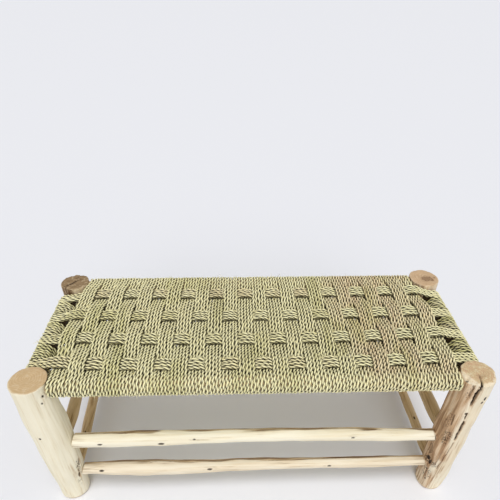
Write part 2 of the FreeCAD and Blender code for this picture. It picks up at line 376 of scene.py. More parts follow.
def wood_end(look, pale, cut, ring, dark, blotch):
    """Colour of a cut end: rings, blotches, pores and a dark heart."""
    rings = look.maths("SINE", look.maths("MULTIPLY", look.floats("ring"), RING_PACE))
    pores = look.grained(Z, *PORES)
    blotches = look.grained(Z, *BLOTCHES)
    end = look.blend(look.span(rings, -1.0, 1.0, 0.0, 0.45), cut, ring)
    end = look.blend(look.span(blotches, 0.44, 0.66, 0.0, 0.85 * blotch), end, ring)
    end = look.blend(look.span(blotches, 0.46, 0.30, 0.0, 0.6 * blotch), end, pale)
    end = look.blend(look.span(pores, 0.52, 0.72, 0.0, 0.55 * blotch), end, dark)
    return look.blend(look.floats("heart"), end, dark)


def wood_material(name, axis, pale, deep, worn, dark=POLE_DARK, cut=None, ring=None, blotch=1.0):
    """Peeled wood with grain along an axis, worn patches, cracks and knots, and rings where ends show."""
    look = Shader(name)
    grain = look.grained(axis, *GRAIN)
    colour = wood_side(look, axis, grain, pale, deep, worn, dark)
    if cut:
        end = wood_end(look, pale, cut, ring, dark, blotch)
        colour = look.blend(look.floats("cut"), colour, end)
        holes = look.span(look.grained(axis, *PITS), 0.52, 0.60)
        pits = look.maths("MULTIPLY", holes, look.floats("pitted"))
        colour = look.blend(pits, colour, PIT_COLOUR)
    colour = look.blend(look.floats("dark"), colour, CRACK_COLOUR)
    normal = look.bump(grain, 0.35, 0.0010)
    normal = look.bump(look.grained(axis, *FINE_GRAIN), 0.30, 0.0004, normal)
    return look.finish(colour, look.span(grain, 0.3, 0.7, 0.74, 0.56), normal)


def rope_material():
    """Two-ply palm-fibre rope: straw with greener and browner stretches, and painted shade between the
    plies.
    """
    look = Shader("palm_rope")
    place = look.node("CombineXYZ", "Vector", {
        "X": look.maths("MULTIPLY", look.floats("along"), STREAKS_ALONG),
        "Y": look.maths("MULTIPLY", look.floats("around"), STREAKS_AROUND)})
    fibres = look.noise(place, 4.0, 0.6)
    hairs = look.noise(place, 2.0, 0.5, scale=2.7)
    straw = look.ramp(fibres, (0.26, (222, 201, 129)), (0.42, (255, 245, 184)), (0.58, (255, 251, 210)))
    brown = look.ramp(fibres, (0.26, (184, 150, 102)), (0.44, (244, 214, 164)), (0.62, (255, 243, 208)))
    green = look.ramp(fibres, (0.28, (148, 140, 70)), (0.47, (220, 214, 134)), (0.66, (250, 246, 186)))
    colour = look.blend(look.floats("brown"), straw, brown)
    colour = look.blend(look.floats("green"), colour, green)
    aged = look.span(look.floats("age"), 0.1, 1.0, 0.0, 0.18)
    colour = look.blend(aged, colour, AGED_COLOUR)
    # Painted shade: darker towards near black in the grooves between plies, between ropes and under crossing
    # ropes
    groove_shade = look.span(look.floats("groove_shade"), 0.20, 0.60, 0.0, 0.98)
    colour = look.blend(groove_shade, colour, GROOVE_SHADE_COLOUR)
    normal = look.bump(fibres, 0.6, 0.0007)
    normal = look.bump(hairs, 0.4, 0.0003, normal)
    return look.finish(colour, look.span(fibres, 0.3, 0.7, 0.62, 0.42), normal, 0.42)


# Wood

def evened(node, voxel):
    """A finely and evenly meshed copy of a node's solid, in an object of its own."""
    piece = placed(node + "_wood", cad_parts[node].data.copy())
    remesh = piece.modifiers.new("even", "REMESH")
    remesh.mode = "VOXEL"
    remesh.voxel_size = voxel
    ready = piece.evaluated_get(bpy.context.evaluated_depsgraph_get())
    mesh = bpy.data.meshes.new_from_object(ready)
    piece.modifiers.clear()
    piece.data = mesh
    return piece


def read_corners(mesh, name):
    values = np.empty(len(mesh.vertices) * 3, np.float32)
    mesh.vertices.foreach_get(name, values)
    return values.reshape(-1, 3).astype(float)


def write_corners(mesh, places):
    mesh.vertices.foreach_set("co", places.astype(np.float32).ravel())
    smoothed(mesh)


def to_line(flat, line):
    """Distance from flat points to a line of points, and the share along it."""
    best = np.full(len(flat), np.inf)
    share = np.zeros(len(flat))
    runs = len(line) - 1
    for index in range(runs):
        start = np.array(line[index])
        run = np.array(line[index + 1]) - start
        at = np.clip((flat - start) @ run / (run @ run), 0, 1)
        away = lengths(flat - start - at[:, None] * run)
        nearer = away < best
        best[nearer] = away[nearer]
        share[nearer] = (index + at[nearer]) / runs
    return best, share


class Log:
    """A log leg: its mesh, its skin unrolled flat, and what the marks made on it add up to."""

    def __init__(self, node, seed):
        self.node = node
        self.seed = seed
        self.piece = evened(node, LEG_VOXEL)
        self.places = read_corners(self.piece.data, "co")
        self.normals = read_corners(self.piece.data, "normal")
        self.height = self.places[:, Z].copy()
        low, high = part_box(node)
        self.top = high.z
        self.spokes = self.places[:, :2] - np.array([(low.x + high.x) / 2, (low.y + high.y) / 2])
        self.reach = lengths(self.spokes)
        self.angle = np.arctan2(self.spokes[:, 1], self.spokes[:, 0])
        self.radius = (high.x - low.x + high.y - low.y) / 4
        self.flat = np.stack([self.angle * self.radius, self.height], 1)
        tilt = np.abs(self.normals[:, Z])
        on_top = self.height > self.top - CROWN_DEPTH
        self.skin = smooth(0.74, 0.86, self.reach / self.radius) * (1 - smooth(0.5, 0.8, tilt))
        self.level = smooth(0.45, 0.8, tilt) * (on_top | (self.height < FOOT_DEPTH))
        self.crown = self.level * on_top
        ribs = self.wobble(self.places * (1, 1, 0.10), 0.011, 0)
        lumps = self.wobble(self.places * (1, 1, 0.45), 0.05, 1)
        self.move = self.skin * (LEG_RIBS * ribs + LEG_LUMPS * lumps - LEG_LUMPS)
        self.dark, self.tone, self.pitted, self.sunk, self.heart = np.zeros((5, len(self.places)))

    def wobble(self, points, size, step):
        return waves(points, size, self.seed + step)

    def spot(self, degrees, height):
        return np.array([radians(degrees) * self.radius, height])

    def darken(self, amount):
        self.dark = np.maximum(self.dark, amount)

    def weather(self, amount):
        self.tone = np.maximum(self.tone, amount)

    def sink(self, depth):
        self.sunk = np.maximum(self.sunk, depth)

    def add_knot(self, degrees, height, size, depth):
        away = lengths((self.flat - self.spot(degrees, height)) * (1, 0.75))
        near = bell(away, size)
        rim = bell(away - 2.2 * size, 1.1 * size)
        self.move += self.skin * (0.45 * depth * rim - depth * near)
        self.darken(self.skin * smooth(0.22, 0.62, near))
        self.weather(0.22 * self.skin * rim)

    def add_crack(self, line, width, depth, darkness):
        """A crack along a line of places in degrees and height, narrow at both ends."""
        jitter = CRACK_WANDER * self.wobble(self.flat, 0.045, 5)
        jittered = self.flat + np.stack([jitter, 0 * jitter], 1)
        away, share = to_line(jittered, [self.spot(*place) for place in line])
        wide = width * (0.35 + 0.65 * np.sin(pi * np.clip(share * 0.94 + 0.03, 0, 1)) ** 0.5)
        wide *= (0.95 + 0.16 * self.wobble(self.flat, 0.02, 6)).clip(0.5, 1.4)
        inside = bell(away, wide) * (self.skin + self.crown).clip(0, 1)
        self.move -= depth * inside
        # The crack is darker inside.
        self.darken(darkness * smooth(0.15, 0.6, inside))
        self.weather(0.55 * bell(away, 4 * wide) * self.skin)

    def add_rough(self, degrees, height, wide, tall, darkness):
        away = (self.flat - self.spot(degrees, height)) / (wide, tall)
        near = np.exp(-(away ** 2).sum(1)) * self.skin
        specks = near * smooth(0.0, 1.1, self.wobble(self.flat * (1, 0.6), 0.0075, 8))
        self.move -= PIT_DEPTH * specks
        # The rough patch is darker and pitted.
        self.darken(0.35 * darkness * smooth(0.1, 0.6, specks))
        self.pitted = np.maximum(self.pitted, darkness * smooth(0.1, 0.6, near))

    def add_facet(self, degrees, spread, depth):
        turn = turn_from(self.angle, degrees)
        flatter = np.clip(1 - (turn / radians(spread)) ** 2, 0, None)
        self.move -= self.skin * depth * flatter * (1 + 0.35 * self.wobble(self.places, 0.09, 7))

    def add_worn(self, degrees, spread, amount, bottom, above):
        wander = radians(WORN_WANDER) * self.wobble(self.places * (1, 1, 0.4), 0.05, 9)
        edge = np.abs(turn_from(self.angle, degrees)) + wander
        patch = 1 - smooth(radians(spread - WORN_EDGE), radians(spread + WORN_EDGE), edge)
        patch *= smooth(bottom - WORN_FADE, bottom + WORN_FADE, self.height)
        patch *= 1 - smooth(above - WORN_FADE, above + WORN_FADE, self.height)
        self.weather(amount * patch * self.skin)

    def cut_top(self, degrees, start, slope):
        """A slanting cut across one side of the top, from a share of the radius outward."""
        toward = self.spokes @ (cos(radians(degrees)), sin(radians(degrees)))
        drop = np.clip(toward - start * self.radius, 0, None) * slope
        drop += (drop > 0) * CUT_WAVES * self.wobble(self.places, 0.012, 11)
        below, above = CUT_FADE
        self.sink(drop * smooth(self.top - below, self.top - above, self.height))

    def bare_bevel(self, bevel):
        """Where slanting cuts went deep, the wood is no longer an end with rings."""
        self.level = self.level * (1 - bevel * smooth(*BEVEL_SUNK, self.sunk))

    def add_heart(self, x, y, size, amount):
        """Dark heartwood on the top, with a darker edge."""
        away = lengths((self.spokes - (x, y)) * (0.75, 1.2))
        away *= 1 + 0.12 * self.wobble(self.spokes, 0.02, 14)
        edge = bell(away - 0.85 * size, 0.16 * size) * (0.7 + 0.3 * self.wobble(self.spokes, 0.01, 18))
        fade = 0.6 * (1 - smooth(0.35 * size, 1.7 * size, away))
        self.heart = np.maximum(self.heart, amount * np.maximum(fade, edge))

    def split_top(self, line, width, depth, darkness):
        """A split along a line of places from the middle."""
        wander = SPLIT_WANDER * self.wobble(self.spokes, 0.012, 12)
        away, share = to_line(self.spokes + wander[:, None], line)
        inside = self.crown * bell(away, width * (0.4 + 0.6 * np.sin(pi * share)))
        self.sink(depth * inside)
        # The split is darker inside.
        self.darken(darkness * smooth(0.2, 0.7, inside))

    def edge_with_bark(self, bark):
        edge = self.reach / self.radius + 0.015 * self.wobble(self.spokes, 0.02, 17)
        self.level = self.level * (1 - bark * smooth(*BARK_EDGE, edge))

    def finish(self, material, pith):
        centre = self.spokes - np.array(pith)
        ring = lengths(centre) * (1 + 0.10 * self.wobble(centre, 0.05, 13))
        marks = SAW_MARKS * self.wobble(self.places, 0.006, 15)
        sawn = self.crown * (marks + SAW_WAVES * self.wobble(self.places, 0.03, 16) - CROWN_SINK)
        places = self.places + self.normals * self.move[:, None]
        places[:, Z] = np.clip(places[:, Z] + (sawn - self.sunk), 0.0, self.top)
        write_corners(self.piece.data, places)
        set_floats(
            self.piece.data, tone=self.tone.clip(0, 1), dark=self.dark.clip(0, 1), pitted=self.pitted,
            cut=self.level, ring=ring, heart=self.heart * self.level)
        seat_piece(self.piece, self.node, material)


def dress_leg(name, seed, material, knots=(), cracks=(), rough=(), facets=(), worn=(), top_cuts=(),
              bevel=0.0, hearts=(), splits=(), bark=0.6, pith=(0, 0)):
    """A log leg with its marks, each written as the method that makes it takes it."""
    log = Log("leg_" + name, seed)
    for make, marks in (
            (log.add_knot, knots), (log.add_crack, cracks), (log.add_rough, rough),
            (log.add_facet, facets), (log.add_worn, worn), (log.cut_top, top_cuts),
            (log.bare_bevel, [(bevel,)]), (log.add_heart, hearts), (log.split_top, splits)):
        for mark in marks:
            make(*mark)
    log.edge_with_bark(bark)
    log.finish(material, pith)


def pole_spokes(places, axis, start):
    """How far each corner of a pole lies from its bent middle line, found slice by slice."""
    others = [index for index in range(3) if index != axis]
    slices = np.clip(((places[:, axis] - start) / POLE_SLICE).astype(int), 0, None)
    count = np.maximum(np.bincount(slices), 1)
    line = np.stack([np.bincount(slices, places[:, index]) / count for index in others], 1)
    return places[:, others] - line[slices]


def dress_pole(node, axis, seed, material, knots=(), worn=0.0, weathered=0.0):
    """A whittled pole: slight flats along its length, knots, darker ends, and a darker back and top."""
    piece = evened(node, POLE_VOXEL)
    places = read_corners(piece.data, "co")
    normals = read_corners(piece.data, "normal")
    low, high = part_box(node)
    along = places[:, axis]
    spokes = pole_spokes(places, axis, low[axis])
    reach = lengths(spokes)
    radius = np.maximum(reach, LEAST_RADIUS)
    angle = np.arctan2(spokes[:, 1], spokes[:, 0])
    body = smooth(*TENON_REACH, reach)
    stretch = np.ones(3)
    stretch[axis] = 0.07
    move = body * (POLE_RIBS * waves(places * stretch, 0.008, seed) - POLE_SINK)
    stretch[axis] = 0.3
    move += body * POLE_LUMPS * waves(places * stretch, 0.03, seed + 1)
    move -= body * POLE_FLATS * np.abs(np.cos(2.5 * angle + 6 * along + seed)) ** 3
    dark = np.zeros(len(places))
    tone = np.full(len(places), worn) * (0.7 + 0.3 * waves(places * stretch, 0.05, seed + 3).clip(-1, 1))
    for place, degrees, size in knots:
        away = np.hypot(turn_from(angle, degrees) * radius, (along - place) * KNOT_STRETCH)
        near = bell(away, size)
        rim = bell(away - 2.4 * size, 1.2 * size)
        move += body * POLE_KNOT * (0.6 * rim - 0.8 * near)
        dark = np.maximum(dark, smooth(0.2, 0.6, near))
        tone = np.maximum(tone, 0.18 * rim)
    # Faces that turn back and up are darker, by the amount given.
    behind = 0.80 * normals[:, Y] + 0.60 * normals[:, Z] + 0.10 * waves(places * stretch, 0.04, seed + 5)
    tone = np.maximum(tone, weathered * smooth(0.62, 0.80, behind))
    tip = np.minimum(along - low[axis], high[axis] - along)
    tone = np.maximum(tone, END_SHADE * (1 - smooth(*END_REACH, tip)))
    write_corners(piece.data, places + normals * move[:, None])
    set_floats(piece.data, tone=tone.clip(0, 1), dark=dark.clip(0, 1))
    seat_piece(piece, node, material)


# Places of the weave, from the frame

def centre_of(node):
    low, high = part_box(node)
    return (low + high) / 2


rail_front, rail_back, rail_left, rail_right = [
    centre_of("seat_rail_" + side) for side in ("front", "back", "left", "right")]
rail_low, rail_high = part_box("seat_rail_left")
wrap_low, wrap_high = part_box("left_rail_wrap_1")
warp_pitch = (wrap_high.y - wrap_low.y - ROPE) / WRAP_TURNS
weft_pitch = warp_pitch + WEFT_SPREAD
wrap_radius = (rail_high.x - rail_low.x) / 2 + SEAT_CLEARANCE + ROPE / 2
row_pitch = centre_of("left_rail_wrap_1").y - centre_of("left_rail_wrap_2").y
middle = Vector(((rail_left.x + rail_right.x) / 2, (rail_front.y + rail_back.y) / 2, 0))
half_x = (rail_right.x - rail_left.x) / 2
half_y = (rail_back.y - rail_front.y) / 2
leg_half_x = (centre_of("leg_front_right").x - centre_of("leg_front_left").x) / 2
long_z = rail_front.z
side_z = rail_left.z
long_high = long_z + wrap_radius
long_low = long_z - wrap_radius
side_high = side_z + wrap_radius
side_low = side_z - wrap_radius
row_y = [((WEFT_ROWS - 1) / 2 - row) * row_pitch for row in range(WEFT_ROWS)]
band_x = [(band - (WARP_BANDS - 1) / 2) * WARP_TURNS * warp_pitch for band in range(WARP_BANDS)]
edge_x = (WARP_BANDS * WARP_TURNS - 1) / 2 * warp_pitch


def crossing(band, row):
    """Where a weft row crosses a warp band: how much wider the warp is there, its place in Y and the sag."""
    y = row_y[row] - ROW_LEAN[row] * (1 - (band_x[band] / half_x) ** LEAN_POWER)
    across = 1 - (y / half_y) ** 2
    return 1 + WARP_FLARE * across, y, SEAT_SAG * across * (1 - (band_x[band] / leg_half_x) ** 2)


# Course of the rope

def bend(start, end, axis):
    """Points of an easy bend from start up to, not at, the end, level at both."""
    start = np.array(start)
    end = np.array(end)
    count = max(3, int(abs(end[axis] - start[axis]) / PATH_STEP))
    share = np.arange(count)[:, None] / count
    eased = np.tile((1 - np.cos(pi * share)) / 2, 3)
    eased[:, axis] = share[:, 0]
    return start + (end - start) * eased


def half_turn(start, end, outward, axis, swing=0.0):
    """Points of half a turn round a rail, from start up to, not at, the end, swung sideways halfway."""
    start = np.array(start)
    end = np.array(end)
    centre = (start + end) / 2
    radius = abs(end[Z] - start[Z]) / 2
    rising = copysign(1, end[Z] - start[Z])
    count = int(pi * radius / PATH_STEP)
    share = np.arange(count) / count
    turn = pi * (share - 0.5)
    points = start + (end - start) * share[:, None]
    points[:, axis] = centre[axis] + outward * radius * np.cos(turn)
    points[:, Z] = centre[Z] + rising * radius * np.sin(turn)
    points[:, 1 - axis] += swing * np.cos(turn)
    return points


def loop(top, under, before, axis, swing=0.0):
    """One turn: up round the first rail, along the top, down round the second rail and back underneath."""
    sign = 1 if top[-1][axis] > top[0][axis] else -1
    runs = [half_turn(before, top[0], -sign, axis, swing)]
    runs += [bend(a, b, axis) for a, b in zip(top, top[1:])]
    runs.append(half_turn(top[-1], under[0], sign, axis, swing))
    runs += [bend(a, b, axis) for a, b in zip(under, under[1:])]
    return np.concatenate(runs)


def warp_turns(band):
    turns = []
    for turn in range(WARP_TURNS):
        x = band_x[band] + (turn - (WARP_TURNS - 1) / 2) * warp_pitch
        after = x + warp_pitch / 2
        edge = copysign((abs(x) / edge_x) ** EDGE_POWER, x)
        end = x + EDGE_SHIFT * edge
        end_after = after + EDGE_SHIFT * edge
        top = [(end, half_y, long_high)]
        under = [(end_after, half_y, long_low)]
        for row in range(WEFT_ROWS):
            wider, y, sag = crossing(band, row)
            rise = (-WARP_RISE if (band + row) % 2 else WARP_RISE) - sag
            top.append((x * wider, y, long_high + rise))
            lower = wider + UNDER_FLARE * (1 - (y / half_y) ** 2)
            under.append((after * lower, y + weft_pitch / 2, long_low + rise))
        top.append((end, -half_y, long_high))
        under.append((end_after, -half_y, long_low))
        before = (end - warp_pitch / 2, half_y, long_low)
        turns.append(loop(top, under[::-1], before, Y, EDGE_SWING * edge))
    return turns


def weft_turns(row):
    """Turns of a weft row, lying a little more open on the seat than round the side rails."""
    turns = []
    for turn in range(WEFT_TURNS):
        offset = (turn - (WEFT_TURNS - 1) / 2) * weft_pitch
        y = row_y[row] + offset
        after = y + weft_pitch / 2
        top = [(-half_x, y, side_high)]
        under = [(-half_x, after, side_low)]
        for band in range(WARP_BANDS):
            wider, at, sag = crossing(band, row)
            x = band_x[band] * wider
            at += WEFT_OPEN * offset
            rise = (WEFT_RISE if (band + row) % 2 else -WEFT_RISE) - sag
            top.append((x, at, long_high + rise))
            under.append((x + warp_pitch / 2, at + weft_pitch / 2, long_low + rise))
        top.append((half_x, y, side_high))
        under.append((half_x, after, side_low))
        turns.append(loop(top, under[::-1], (-half_x, y - weft_pitch / 2, side_low), X))
    return turns


def wrap_turns(side, node):
    """Bare turns round a side rail, wider than the solid so that no rail shows, and slack below inside."""
    centre = centre_of(node).y - middle.y
    turns = []
    for turn in range(WRAP_PASSES):
        share = np.arange(0, 1, PATH_STEP / (2 * pi * wrap_radius))
        angle = 2 * pi * share
        y = centre + (turn + share - WRAP_START - (WRAP_PASSES - 1) / 2) * WRAP_PITCH
        radius = wrap_radius + WRAP_SLACK * np.cos(angle + pi / 4).clip(0, None) ** 2
        x = side * (half_x - radius * np.cos(angle))
        turns.append(np.stack([x, y, side_z + radius * np.sin(angle)], 1))
    return turns


def resampled(path):
    """The path in steps that are finer where it shows, the length along it and the place in the path."""
    run = lengths(np.diff(path, axis=0))
    length = np.concatenate([[0], np.cumsum(run)])
    step = np.where(path[:, Z] > long_z - FINE_DEPTH, FINE_STEP, COARSE_STEP)
    weight = np.concatenate([[0], np.cumsum(run / step[:-1])])
    at = np.interp(np.linspace(0, weight[-1], int(weight[-1]) + 1), weight, length)
    points = np.stack([np.interp(at, length, path[:, index]) for index in range(3)], 1)
    return points, at, np.interp(at, length, np.arange(len(path)))


def course(points, length, across):
    """Headings along a path: ahead, to the side and up."""
    ahead = unit(np.gradient(points, length, axis=0))
    across = np.array(across, float)
    side = unit(across - ahead * (ahead @ across)[:, None])
    return ahead, side, np.cross(ahead, side)


# Rope

def under_the_seat(points):
    """1 on the underside of the seat, 0 on its top and round the rails."""
    under = 1 - smooth(long_z - UNDER_BELOW, long_z + UNDER_ABOVE, points[:, Z])
    for axis, half in ((X, half_x), (Y, half_y)):
        under *= 1 - smooth(half - ROLL_INSIDE, half + ROLL_OUTSIDE, np.abs(points[:, axis]))
    return under


def eight(angle, ply):
    """Radius of two touching plies at an angle round the rope, as a share of the rope's radius."""
    offset = 1 - ply
    return offset * np.abs(np.cos(angle)) + np.sqrt(ply ** 2 - (offset * np.sin(angle)) ** 2)


def loose_fibres(points, ahead, side, up, girth, rng):
    """Thin tapering fibres where the rope shows: the ring that each corner belongs to, corners and faces."""
    shown = np.flatnonzero(points[:, Z] > long_z - FINE_DEPTH)
    count = int(FIBRES_PER_METRE * FINE_STEP * len(shown))
    base = rng.choice(shown, count)
    turn = rng.uniform(0, 2 * pi, (count, 1))
    outward = side[base] * np.cos(turn) + up[base] * np.sin(turn)
    onward = ahead[base] * rng.choice((-1, 1), (count, 1))
    beside = np.cross(onward, outward)
    share = np.linspace(0, 1, FIBRE_RINGS)[:, None]
    reach = rng.uniform(*FIBRE_REACH, (count, 1, 1))
    lift = rng.uniform(*FIBRE_LIFT, (count, 1, 1))
    curl = rng.uniform(*FIBRE_CURL, (count, 1, 1))
    spine = (points[base] + FIBRE_ROOT * girth[base, None] * outward)[:, None] + reach * (
        onward[:, None] * share + lift * outward[:, None] * share + curl * beside[:, None] * share ** 2)
    angle = 2 * pi * np.arange(FIBRE_SIDES)[:, None] / FIBRE_SIDES
    thick = FIBRE_RADIUS * (1 - FIBRE_TAPER * share[..., None])
    corners = spine[:, :, None] + thick * (
        outward[:, None, None] * np.cos(angle) + beside[:, None, None] * np.sin(angle))
    corner = np.arange(count * FIBRE_RINGS * FIBRE_SIDES).reshape(count, FIBRE_RINGS, FIBRE_SIDES)
    next_one = np.roll(corner, -1, axis=2)
    quads = np.stack([corner[:, :-1], next_one[:, :-1], next_one[:, 1:], corner[:, 1:]], 3).reshape(-1, 4)
    tips = np.concatenate([corner[:, 0, ::-1], corner[:, -1]])
    return np.repeat(base, FIBRE_RINGS * FIBRE_SIDES), corners.reshape(-1, 3), quads, tips


class Rope:
    """One rope through all its turns: two plies twisted round each other, uneven as hand-laid rope is."""

    def __init__(self, turns, across, seed, fuller, stout):
        self.seed = seed
        self.rng = np.random.default_rng(seed)
        self.turn_count = len(turns)
        points, self.length, mark = resampled(np.concatenate(turns))
        counts = [len(turn) for turn in turns]
        starts = np.concatenate([[0], np.cumsum(counts)])
        which = np.repeat(np.arange(len(turns)), counts)
        self.turn = which[np.clip(mark.astype(int), 0, len(which) - 1)]
        share = (mark - starts[self.turn]) / np.diff(starts)[self.turn]
        ahead, self.side, self.up = course(points, self.length, across)
        sway = self.waver(LONG_SWAY, 1) + self.waver(SHORT_SWAY, 2)
        lift = self.waver(LIFT, 3)
        self.points = points + self.side * sway[:, None] + self.up * lift[:, None]
        under = fuller * under_the_seat(self.points)
        self.girth = stout * VISIBLE_ROPE / 2 * (1 + self.waver(LONG_GIRTH, 4) + self.waver(SHORT_GIRTH, 5))
        self.girth *= 1 + UNDER_SWELL * under
        self.twist(share, under)
        self.fibre_ring, *self.fibres = loose_fibres(
            self.points, ahead, self.side, self.up, self.girth, np.random.default_rng(seed + 10))

    def waver(self, kind, step):
        amount, size = kind
        return amount * waves(self.length[:, None], size, self.seed + step)

    def twist(self, share, under):
        """The section at each step and the angles of its corners, turned a little from turn to turn."""
        lays = round(self.length[-1] / self.turn_count / LAY) + NEIGHBOUR_SHIFT
        phase = 2 * pi * lays * (self.turn + share)
        uneven = (0.25 + 0.65 * (1 - under)) * waves(self.length[:, None], TWIST_LENGTH, self.seed + 6)
        phase += uneven + self.rng.uniform(0, 6)
        self.round_angle = np.arange(ROPE_SIDES) * 2 * pi / ROPE_SIDES + pi / 2
        ply = PLY_SHARE + (UNDER_PLY_SHARE - PLY_SHARE) * under
        self.section = eight(self.round_angle, ply[:, None])
        self.angle = self.round_angle + phase[:, None]

    def mesh(self, name):
        reach = (self.girth[:, None] * self.section)[..., None]
        rings = self.points[:, None] + reach * (
            self.side[:, None] * np.cos(self.angle)[..., None]
            + self.up[:, None] * np.sin(self.angle)[..., None])
        count = len(self.points)
        corner = np.arange(count - 1)[:, None] * ROPE_SIDES + np.arange(ROPE_SIDES)
        beside = np.roll(corner, -1, axis=1)
        quads = np.stack([corner, beside, beside + ROPE_SIDES, corner + ROPE_SIDES], 2).reshape(-1, 4)
        first = count * ROPE_SIDES
        ends = [list(range(ROPE_SIDES))[::-1], list(range(first - ROPE_SIDES, first))]
        fibre_places, fibre_quads, fibre_tips = self.fibres
        places = np.concatenate([rings.reshape(-1, 3), fibre_places]) + np.array(middle)
        faces = quads.tolist() + ends + (fibre_quads + first).tolist() + (fibre_tips + first).tolist()
        mesh = bpy.data.meshes.new(name)
        mesh.from_pydata(places, [], faces)
        return smoothed(mesh)

    def groove_shade(self, tuck, groove_shade_scale):
        """Painted shade between the plies, between neighbouring ropes and under crossing ones."""
        waist = (1 - self.section) / (1 - self.section.min())
        between = waist ** 1.5 * (0.46 + 0.54 * np.cos(self.angle) ** 2)
        valley = VALLEY_SHADE * np.abs(np.cos(self.angle)) ** 6
        return np.maximum(groove_shade_scale * np.maximum(between, valley), tuck(self.points)[:, None])

    def age(self, older):
        """Older and younger stretches and turns, and one ply older than the other."""
        tone = older + self.rng.uniform(-0.15, 0.20)
        tone = tone + self.rng.uniform(-0.05, 0.30, self.turn_count)[self.turn]
        age = (tone + self.waver(LONG_AGE, 7) + self.waver(SHORT_AGE, 8)).clip(0, 1)
        uneven = 0.36 + self.waver(PLY_AGE, 9)
        return ((age + grey(self.points))[:, None] + uneven[:, None] * np.cos(self.round_angle)).clip(0, 1)

    def looks(self, brown, green, tuck, older, groove_shade_scale):
        """What the rope's material reads, at the corners of the rope and then of its fibres."""
        every = np.ones(ROPE_SIDES)
        around = np.arange(ROPE_SIDES) / ROPE_SIDES
        on_rope = {
            "along": np.outer(self.length + STREAK_SHIFT * self.seed, every),
            "around": np.outer(np.ones(len(self.points)), around),
            "groove_shade": self.groove_shade(tuck, groove_shade_scale),
            "age": self.age(older),
            "brown": np.outer(brown(self.points, self.turn, self.rng), every),
            "green": np.outer(green(self.points, self.turn, self.rng), every)}
        on_fibres = {key: values[self.fibre_ring, 0] for key, values in on_rope.items()}
        on_fibres["groove_shade"] = np.zeros(len(self.fibre_ring))
        return {key: np.concatenate([values.ravel(), on_fibres[key]]) for key, values in on_rope.items()}


def in_the_open(points):
    return np.zeros(len(points))


def lay_rope(node, turns, across, seed, brown, green, tuck=in_the_open, older=0.0, groove_shade_scale=1.0,
             fuller=1.0, stout=1.0):
    rope = Rope(turns, across, seed, fuller, stout)
    mesh = rope.mesh(node + "_rope")
    set_floats(mesh, **rope.looks(brown, green, tuck, older, groove_shade_scale))
    seat_piece(placed(node + "_rope", mesh), node, rope_look)


# Tints of the rope

def by_turn(turn, rng, low, high):
    return rng.uniform(low, high, int(turn.max()) + 1)[turn]


def browner(points, turn, rng):
    """Browner stretches of the warp, most of them to the right of the seat."""
    spread = smooth(*BROWN_FROM, points[:, X]) * (1 - smooth(*BROWN_UNTIL, points[:, X]))
    own = by_turn(turn, rng, 0, 1)
    wander = smooth(-1.6, 0.6, waves(points, 0.35, BROWN_SEED))
    front = smooth(-half_y - 0.012, -half_y + 0.01, points[:, Y])
    amount = (0.10 + 0.90 * spread) * wander * (0.5 + 0.5 * own) * (0.35 + 0.65 * front)
    return amount.clip(0, 1)


def greener(points, turn, rng):
    own = by_turn(turn, rng, 0, 1)
    streaks = smooth(0.1, 1.3, waves(points * (1, 0.35, 0), 0.09, GREEN_SEED))
    return ((0.15 + 0.35 * own) * streaks).clip(0, 1)


def weft_tint(amount, right=0.0):
    """An even tint along a weft row that turns to another amount at the right of the seat."""
    def tint(points, turn, rng):
        own = by_turn(turn, rng, 0.7, 1.3)
        far = smooth(*RIGHT_FROM, points[:, X])
        wander = smooth(-1.8, 0.8, waves(points, 0.16, WEFT_SEED))
        return (own * (amount * (1 - far) + right * far) * wander).clip(0, 1)
    return tint


def side_green(least):
    def tint(points, turn, rng):
        own = by_turn(turn, rng, least, least + GREEN_RANGE)
        return (own * smooth(-1.8, 0.8, waves(points, 0.12, SIDE_SEED))).clip(0, 1)
    return tint


def grey(points):
    near = np.exp(-(((points[:, X] - GREY_X) / GREY_HALF) ** 4))
    return GREY_AGE * near * smooth(*GREY_FROM, points[:, Y])


def tucked(above, below, axis, half):
    """Shade on a rope where it comes out from under crossing ropes, above and below the seat."""
    def shade(points):
        deep = np.zeros(len(points))
        upper = points[:, Z] > long_z
        for places, side in ((above, upper), (below, ~upper)):
            for place in places:
                past = np.abs(points[:, axis] - place) - half
                deep = np.maximum(deep, side * TUCK_SHADE * (1 - smooth(TUCK_START, TUCK_REACH, past)))
        return deep
    return shade


# Build the wood: each look has a pale, a deep, a worn and a dark colour, and the legs those of cut ends

leg_left = wood_material(
    "peeled_pale", Z, (246, 238, 214), (237, 226, 196), (214, 190, 148), (186, 150, 108),
    cut=(214, 186, 144), ring=(192, 160, 116), blotch=0.35)
leg_right = wood_material(
    "weathered_ridged", Z, (244, 233, 208), (226, 205, 170), (222, 187, 148), (154, 118, 84),
    cut=(218, 199, 154), ring=(200, 160, 128))
leg_back = wood_material(
    "weathered_back", Z, (226, 208, 174), (196, 168, 124), (160, 130, 94), (92, 62, 36),
    cut=(164, 138, 104), ring=(126, 102, 72))
leg_pink = wood_material(
    "peeled_pink", Z, (236, 216, 186), (208, 178, 138), (176, 142, 104), (104, 68, 40),
    cut=(212, 182, 146), ring=(188, 154, 116), blotch=0.35)
stretcher_look = wood_material("stretcher_pale", X, (247, 240, 218), (236, 222, 190), (212, 186, 142))
lower_look = wood_material("stretcher_peach", X, (240, 229, 206), (224, 204, 172), (206, 178, 140))
rung_look = wood_material("rung_tan", Y, (212, 186, 144), (186, 154, 108), (160, 130, 88))
rail_x_look = wood_material("rail_long", X, (196, 174, 134), (166, 140, 102), (140, 112, 78))
# Side rails near black: dark wood and painted shade, so that the holes in the weave beside them read dark
rail_y_dark_shade_look = wood_material("rail_short_dark_painted_shade", Y, (88, 70, 50), (64, 50, 34), (54, 40, 28))

